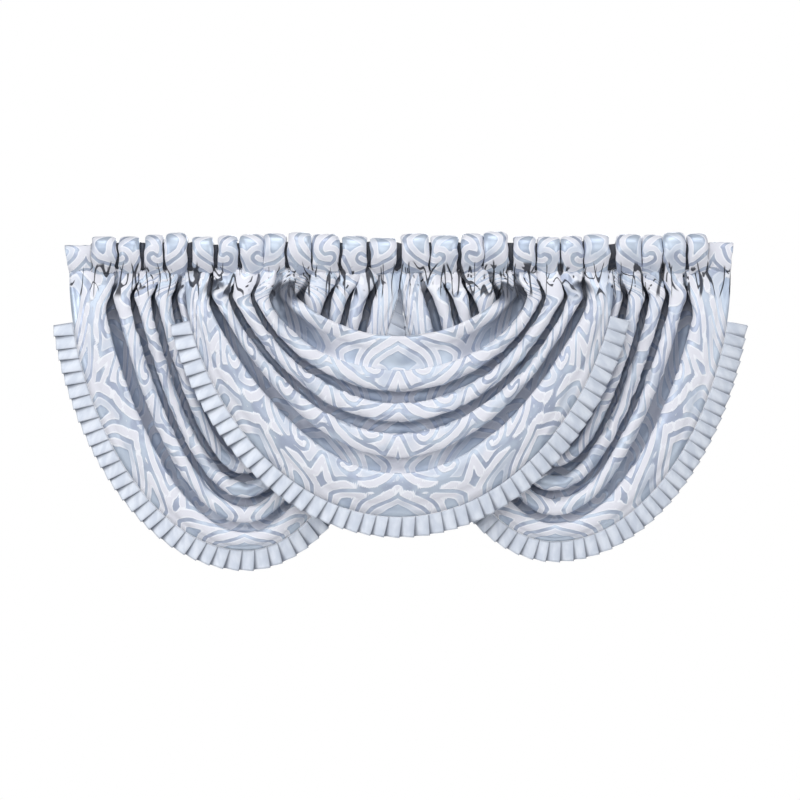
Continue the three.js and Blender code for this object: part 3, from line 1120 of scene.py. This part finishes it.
class Value:
    """A number on a shader's socket, which Python's operators carry on as Math nodes."""

    def __init__(self, shader: "Shader", socket: Socket) -> None:
        """Keeps the socket and the shader that it belongs to."""
        self.shader = shader
        self.socket = socket

    def math(self, operation: str, first: "Value | float", second: "Value | float") -> "Value":
        """Adds one Math node and returns its result."""
        node = self.shader.node("ShaderNodeMath", {"operation": operation}, {0: first, 1: second})
        return Value(self.shader, node.outputs[0])

    def __add__(self, other: "Value | float") -> "Value":
        """This value plus other."""
        return self.math("ADD", self, other)

    def __radd__(self, other: float) -> "Value":
        """A number plus this value."""
        return self.math("ADD", other, self)

    def __sub__(self, other: "Value | float") -> "Value":
        """This value less other."""
        return self.math("SUBTRACT", self, other)

    def __rsub__(self, other: float) -> "Value":
        """A number less this value."""
        return self.math("SUBTRACT", other, self)

    def __mul__(self, other: "Value | float") -> "Value":
        """This value times other."""
        return self.math("MULTIPLY", self, other)

    def __rmul__(self, other: float) -> "Value":
        """A number times this value."""
        return self.math("MULTIPLY", other, self)

    def band(self, start: float, end: float) -> "Value":
        """Goes smoothly from 0 to 1 as this value goes from start to end."""
        node = self.shader.node(
            "ShaderNodeMapRange",
            {"interpolation_type": "SMOOTHSTEP"},
            {"Value": self, "From Min": start, "From Max": end},
        )
        return Value(self.shader, node.outputs["Result"])


Input = Value | Socket | float | tuple[float, ...]
Reach = tuple[float, float]


@dataclass(frozen=True)
class Lumps:
    """One layer of noise over the flat cloth: the size of its lumps, in millimetres, and its detail."""

    across: float
    along: float
    detail: float = 2.0


@dataclass(frozen=True)
class CreaseLines:
    """One set of thin wandering lines, which run down the cloth and branch.

    across is about how far apart they are and down how far they run before they turn, in
    millimetres, width how broad they are as a share of the noise's range, and seed picks the set.
    """

    across: float
    down: float
    width: float
    seed: float


class Shader:
    """The nodes of a material or a world, added by one method and by arithmetic on Value."""

    def __init__(self, owner: Material | bpy.types.World) -> None:
        """Turns the nodes on and clears them.

        Args:
            owner: the material or world.
        """
        self.owner = owner
        owner.use_nodes = True
        self.tree = owner.node_tree
        self.tree.nodes.clear()

    def node(
        self,
        kind: str,
        settings: Mapping[str, object] | None = None,
        inputs: Mapping[str | int, Input] | None = None,
    ) -> bpy.types.Node:
        """Adds one node.

        Args:
            kind: Blender's name for the node's type.
            settings: its own properties, set before its sockets.
            inputs: the value or link of each socket, by name or number.

        Returns:
            The new node.
        """
        made = self.tree.nodes.new(kind)
        for name, value in (settings or {}).items():
            setattr(made, name, value)
        for name, value in (inputs or {}).items():
            if isinstance(value, Value):
                value = value.socket
            if isinstance(value, Socket):
                self.tree.links.new(value, made.inputs[name])
            else:
                made.inputs[name].default_value = value
        return made

    def blend(self, share: Input, start: Input, end: Input) -> Socket:
        """A colour between two, on a Mix node."""
        made = self.node("ShaderNodeMix", {"data_type": "RGBA"}, {0: share, 6: start, 7: end})
        return made.outputs[2]

    def attribute(self, name: str) -> Value:
        """A number that the mesh carries at each of its points."""
        return Value(self, self.node("ShaderNodeAttribute", {"attribute_name": name}).outputs["Fac"])

    def scaled(self, place: Socket, sizes: Iterable[float]) -> Socket:
        """A place, with each axis counted in lengths of that many millimetres."""
        scale = tuple(1 / (size * MM) for size in sizes)
        return self.node("ShaderNodeVectorMath", {"operation": "MULTIPLY"}, {0: place, 1: scale}).outputs[0]

    def flat_place(self, across: float, along: float) -> Socket:
        """Places on the flat cloth, with each axis counted in lengths of that many millimetres."""
        place = self.node("ShaderNodeUVMap", {"uv_map": "flat"}).outputs["UV"]
        return self.scaled(place, (across, along, 1 / MM))

    def creases(self, lines: CreaseLines) -> Value:
        """Draws a set of crease lines, in space.

        Args:
            lines: the set.

        Returns:
            A value that is 1 on the lines and 0 off them.
        """
        place = self.node("ShaderNodeTexCoord").outputs["Object"]
        made = self.node("ShaderNodeTexNoise", {"noise_dimensions": "4D"}, {
            "Vector": self.scaled(place, (lines.across, lines.down, lines.down)),
            "W": lines.seed,
            "Scale": 1.0,
            "Detail": 0.0,
            "Distortion": 0.3,
        })
        off = Value(self, made.outputs["Fac"]) - 0.5
        full = lines.width * lines.width
        return 1.0 - (off * off).band(full * 0.2, full)

    def speckle(self, layer: Lumps) -> Value:
        """Noise over the flat cloth."""
        made = self.node("ShaderNodeTexNoise", {"noise_dimensions": "2D"}, {
            "Vector": self.flat_place(layer.across, layer.along),
            "Scale": 1.0,
            "Detail": layer.detail,
        })
        return Value(self, made.outputs["Fac"])

    def threads(self, pitch: float) -> Value:
        """Fine lines of thread over the flat cloth, at that pitch in millimetres."""
        made = self.node(
            "ShaderNodeTexWave",
            {"wave_type": "BANDS", "bands_direction": "DIAGONAL"},
            {"Vector": self.flat_place(pitch, pitch), "Scale": 0.6, "Distortion": 0.6, "Detail": 1.0},
        )
        return Value(self, made.outputs["Fac"])

    def bumped(self, height: Value, strength: float) -> Socket:
        """The direction that the cloth faces, over bumps of that height in millimetres."""
        made = self.node("ShaderNodeBump", None, {"Strength": strength, "Distance": MM, "Height": height})
        return made.outputs[0]

    def finish(self, surface: Mapping[str, Input]) -> Material:
        """Ends the material with one Principled shader.

        Args:
            surface: the value or link of each of its sockets, by name.

        Returns:
            The finished material.
        """
        shaded = self.node("ShaderNodeBsdfPrincipled", None, surface)
        self.node("ShaderNodeOutputMaterial", None, {"Surface": shaded.outputs[0]})
        return self.owner


@dataclass(frozen=True)
class JacquardFinish:
    """Woven cloth with raised, outlined off-white ribbons on a silver-blue satin ground.

    The strokes of the pattern are ribbons, and gap millimetres off them runs a second ribbon, ring
    millimetres wide, whose strength goes down to ring_least in places. Each Reach gives the values of
    a mask between which it goes from nothing to full.
    """

    ground: Colour = srgb(193, 205, 220)
    # The darker ground, for uneven tone in clouds and for painted shade beside the ribbons
    shade: Colour = srgb(166, 179, 200)
    lines: Colour = srgb(168, 177, 198)
    scroll: Colour = srgb(220, 221, 229)
    # Painted shade for the valleys of the folds
    outline: Colour = srgb(238, 240, 245)
    valley_shade: Colour = srgb(88, 102, 130)
    # Painted shadow, near black, for grooves, the tops of valleys and crease lines
    crease: Colour = srgb(22, 27, 42)

    gap: float = 5.5
    ring: float = 8.5
    edge: float = 0.45
    rim: float = 1.5
    # How far the painted shade on the ground beside the outer ribbon reaches, in millimetres
    beside: float = 4.0
    broad: Lumps = Lumps(64.0, 52.0, 1.0)
    cloudy: Lumps = Lumps(46.0, 30.0)
    pucker: Lumps = Lumps(3.4, 1.7, 3.0)
    broken: Lumps = Lumps(14.0, 14.0, 0.0)
    threads: float = 1.1
    # Thin crease lines in the necks, sunk as bumps and painted as shadow
    long_creases: CreaseLines = CreaseLines(18.0, 90.0, 0.03, 1.7)
    short_creases: CreaseLines = CreaseLines(15.0, 44.0, 0.026, 6.4)

    ring_least: float = 0.35
    ring_reach: Reach = (0.35, 0.6)
    gap_least: float = 0.12
    gap_shade: float = 0.8
    gap_reach: Reach = (0.38, 0.62)
    cloud_shade: float = 0.75
    cloud_reach: Reach = (0.35, 0.72)
    beside_shade: float = 0.5
    shade_reach: Reach = (0.0, 1.15)
    rim_shade: float = 0.7
    # How strongly and how unevenly shade is painted into the valleys, and where it starts
    fold_shade: float = 0.55
    fold_cloud: float = 0.5
    fold_reach: Reach = (0.5, 1.0)
    broken_reach: Reach = (0.42, 0.56)
    long_reach: Reach = (0.22, 0.6)
    short_reach: Reach = (0.5, 0.8)
    crease_shade: float = 0.93

    ribbon_height: float = 0.6
    pucker_height: float = 0.4
    thread_height: float = 0.05
    cloud_height: float = 0.2
    crease_depth: float = 1.2
    bump: float = 0.7

    def material(self) -> Material:
        """Builds the material.

        Returns:
            The finished material.
        """
        shader = Shader(bpy.data.materials.new("jacquard"))
        scroll = shader.attribute("scroll")
        neck = shader.attribute("neck")
        cloudy = shader.speckle(self.cloudy)
        far = self.gap + self.ring
        off_core = scroll.band(-self.edge, self.edge)
        off_gap = scroll.band(self.gap - self.edge, self.gap + self.edge)
        off_ring = scroll.band(far - self.edge, far + self.edge)
        strong = shader.speckle(self.broad).band(*self.ring_reach) * (1 - self.ring_least)
        ribbon = 1.0 - off_core + (off_gap - off_ring) * (self.ring_least + strong)
        inside = scroll.band(-self.rim - self.edge, -self.rim)
        inside = inside - scroll.band(self.gap + self.rim, self.gap + self.rim + self.edge)
        inside = inside + scroll.band(far - self.rim - self.edge, far - self.rim)

        between = (off_core - off_gap) * (self.gap_least + cloudy.band(*self.gap_reach) * self.gap_shade)
        # Painted shade on the ground at the foot of the outer ribbon
        beside = off_ring * (1.0 - scroll.band(far, far + self.beside))
        # Uneven tone in clouds, plus the painted shade beside the ribbons
        shade = cloudy.band(*self.cloud_reach) * self.cloud_shade + beside * self.beside_shade
        colour = shader.blend(shade.band(*self.shade_reach), self.ground, self.shade)
        colour = shader.blend(between, colour, self.lines)
        colour = shader.blend(ribbon, colour, self.scroll)
        colour = shader.blend(ribbon * inside * self.rim_shade, colour, self.outline)
        # Paints shade into the valleys of the folds, where the cloth lies far into a fold
        depth = shader.attribute("depth") + (cloudy - 0.5) * self.fold_cloud
        colour = shader.blend(depth.band(*self.fold_reach) * self.fold_shade, colour, self.valley_shade)

        # Crease lines in the necks: bumps, and painted shadow in the colour
        drawn = shader.creases(self.long_creases) * neck.band(*self.long_reach)
        broken = shader.speckle(self.broken).band(*self.broken_reach)
        drawn = drawn + shader.creases(self.short_creases) * neck.band(*self.short_reach) * broken
        # Paints near-black shadow into the pocket's grooves, the swags' valleys near the seam and the
        # crease lines
        crease = shader.attribute("crease") + drawn
        colour = shader.blend(crease.band(0.0, 1.0) * self.crease_shade, colour, self.crease)

        height = ribbon * self.ribbon_height + ribbon * shader.speckle(self.pucker) * self.pucker_height
        height = height + shader.threads(self.threads) * self.thread_height
        height = height + cloudy * self.cloud_height - drawn * self.crease_depth
        return shader.finish({
            "Base Color": colour,
            "Roughness": 0.36 + ribbon * 0.3,
            "Metallic": 0.3 - ribbon * 0.25,
            "Normal": shader.bumped(height, self.bump),
            "Sheen Weight": 0.15,
            "Sheen Roughness": 0.5,
        })


@dataclass(frozen=True)
class SatinFinish:
    """Plain pale-blue satin, pressed in pleats, with painted shadow under the folds."""

    light: Colour = srgb(221, 227, 237)
    dark: Colour = srgb(190, 199, 214)
    # Painted shadow under the pleats' folds and on the trim's turned ends
    under: Colour = srgb(70, 79, 99)
    cloudy: Lumps = Lumps(16.0, 30.0)
    slub: Lumps = Lumps(1.2, 14.0)
    threads: float = 0.9
    cloud_shade: float = 0.6
    cloud_reach: Reach = (0.3, 0.7)
    fold_shade: float = 0.8
    thread_height: float = 0.06
    slub_height: float = 0.12
    cloud_height: float = 0.25
    bump: float = 0.6

    def material(self) -> Material:
        """Builds the material.

        Returns:
            The finished material.
        """
        shader = Shader(bpy.data.materials.new("satin trim"))
        cloudy = shader.speckle(self.cloudy)
        slub = shader.speckle(self.slub)
        colour = shader.blend(cloudy.band(*self.cloud_reach) * self.cloud_shade, self.light, self.dark)
        # Paints shadow under the folds and shade on the turned ends
        colour = shader.blend(shader.attribute("depth") * self.fold_shade, colour, self.under)
        height = shader.threads(self.threads) * self.thread_height + slub * self.slub_height
        height = height + cloudy * self.cloud_height
        return shader.finish({
            "Base Color": colour,
            "Roughness": 0.4 + slub * 0.1,
            "Metallic": 0.15,
            "Normal": shader.bumped(height, self.bump),
            "Sheen Weight": 0.12,
            "Sheen Roughness": 0.5,
        })


@dataclass(frozen=True)
class Lamp:
    """One soft rectangular light: its place, its width and height, in metres, and its power in watts."""

    name: str
    place: tuple[float, float, float]
    size: tuple[float, float]
    power: float

    def build(self, target: Vector) -> None:
        """Adds the light, turned to the target and unseen by the camera.

        Args:
            target: the place that it lights, in metres.
        """
        data = bpy.data.lights.new(self.name, "AREA")
        data.shape = "RECTANGLE"
        data.size, data.size_y = self.size
        data.energy = self.power
        lamp = placed(self.name, data)
        lamp.location = self.place
        lamp.rotation_euler = (target - Vector(self.place)).to_track_quat("-Z", "Y").to_euler()
        lamp.visible_camera = False


@dataclass
class Studio:
    """The pale floor, the soft light and the camera, which looks straight at the valance's front."""

    sensor: float = 36.0
    camera_distance: float = 4.0
    camera_height: float = -0.2604
    view_width: float = 1.2624
    floor_height: float = -1.25
    floor_radius: float = 1.4
    floor_colour: Colour = srgb(244, 244, 244)
    world_light: float = 0.12
    sky: Colour = srgb(236, 242, 255)
    white: Colour = srgb(255, 255, 255)
    lamps: tuple[Lamp, ...] = (
        Lamp("left", (-3.0, -2.4, 0.4), (2.0, 2.4), 71.0),
        Lamp("right", (3.0, -2.4, 0.4), (2.0, 2.4), 56.8),
        Lamp("front", (-0.4, -3.4, 1.0), (1.6, 1.2), 28.0),
        Lamp("top", (0.0, -1.4, 2.4), (2.4, 1.2), 42.0),
        Lamp("back", (0.6, 3.4, 0.8), (2.4, 1.6), 95.0),
    )

    def camera(self) -> None:
        """Adds the camera."""
        data = bpy.data.cameras.new("camera")
        data.sensor_width = self.sensor
        data.lens = self.sensor * self.camera_distance / self.view_width
        camera = placed("camera", data)
        camera.location = (0.0, -self.camera_distance, self.camera_height)
        camera.rotation_euler = (math.radians(90), 0.0, 0.0)
        bpy.context.scene.camera = camera

    def floor(self) -> None:
        """Adds the floor, a pale disc well below the valance."""
        disc = bmesh.new()
        bmesh.ops.create_circle(disc, cap_ends=True, segments=96, radius=self.floor_radius)
        bmesh.ops.translate(disc, verts=disc.verts, vec=(0.0, 0.0, self.floor_height))
        floor = finished("floor", disc)
        shader = Shader(bpy.data.materials.new("pale floor"))
        floor.data.materials.append(shader.finish({"Base Color": self.floor_colour, "Roughness": 0.8}))

    def world(self) -> None:
        """Adds a white background that lights the cloth only dimly from all round."""
        world = bpy.data.worlds.new("studio")
        bpy.context.scene.world = world
        shader = Shader(world)
        seen = shader.node("ShaderNodeLightPath").outputs["Is Camera Ray"]
        dim, white = (
            shader.node("ShaderNodeBackground", None, {"Color": colour, "Strength": strength}).outputs[0]
            for colour, strength in ((self.sky, self.world_light), (self.white, 1.0))
        )
        chosen = shader.node("ShaderNodeMixShader", None, {0: seen, 1: dim, 2: white})
        shader.node("ShaderNodeOutputWorld", None, {"Surface": chosen.outputs[0]})

    def build(self) -> None:
        """Sets the whole studio up."""
        self.camera()
        self.world()
        self.floor()
        for lamp in self.lamps:
            lamp.build(Vector((0.0, 0.0, self.camera_height)))
        bpy.context.scene.view_settings.view_transform = "Standard"


def swags() -> list[tuple[Swag, int]]:
    """Sets out the three swags.

    Returns:
        Each swag with the number of pleats on its trim.
    """
    left = Swag(
        Side.LEFT, SIDE_FOLDS, axis=-243, seam_out=5, forward=7, rise=90, seed=0.4,
        left_end=SwagEnd(17, 0, -136, 0),
        right_end=SwagEnd(-10, -16, -86, -0.35, taper=74),
    )
    centre = Swag(
        Side.CENTRE, CENTRE_FOLDS, axis=-2, seam_out=7.5, forward=35, rise=62, seed=2.1,
        left_end=SwagEnd(18, 0, -134, 0),
        right_end=SwagEnd(18, 0, -132, 0),
        valley_sink=1.95,
        ridge_rise=1.45,
    )
    right = Swag(
        Side.RIGHT, SIDE_FOLDS, axis=243, seam_out=5, forward=7, rise=90, seed=4.3,
        left_end=SwagEnd(-10, -16.5, -125, 0.35),
        right_end=SwagEnd(15, 0, -138, 0),
        mirrored=True,
        settle=0.972,
        edge_neck_drop=190,
    )
    return [(left, 52), (centre, 48), (right, 52)]


def report(piece: Object) -> None:
    """Logs one finished piece with its size."""
    area = sum(face.area for face in piece.data.polygons)
    LOG.info("%s: %d faces, %.3f m2 of cloth", piece.name, len(piece.data.polygons), area)


def main() -> None:
    """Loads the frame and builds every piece."""
    logging.basicConfig(level=logging.INFO, format="%(name)s: %(message)s")
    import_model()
    Studio().build()
    jacquard = JacquardFinish().material()
    satin = SatinFinish().material()
    pattern = Damask()
    report(RodPocket().build(pattern, jacquard))
    for swag, pleats in swags():
        cloth = swag.drape()
        report(swag.build(cloth, pattern, jacquard))
        report(PleatedTrim(swag, pleats).build(cloth, satin))


if __name__ == "__main__":
    main()
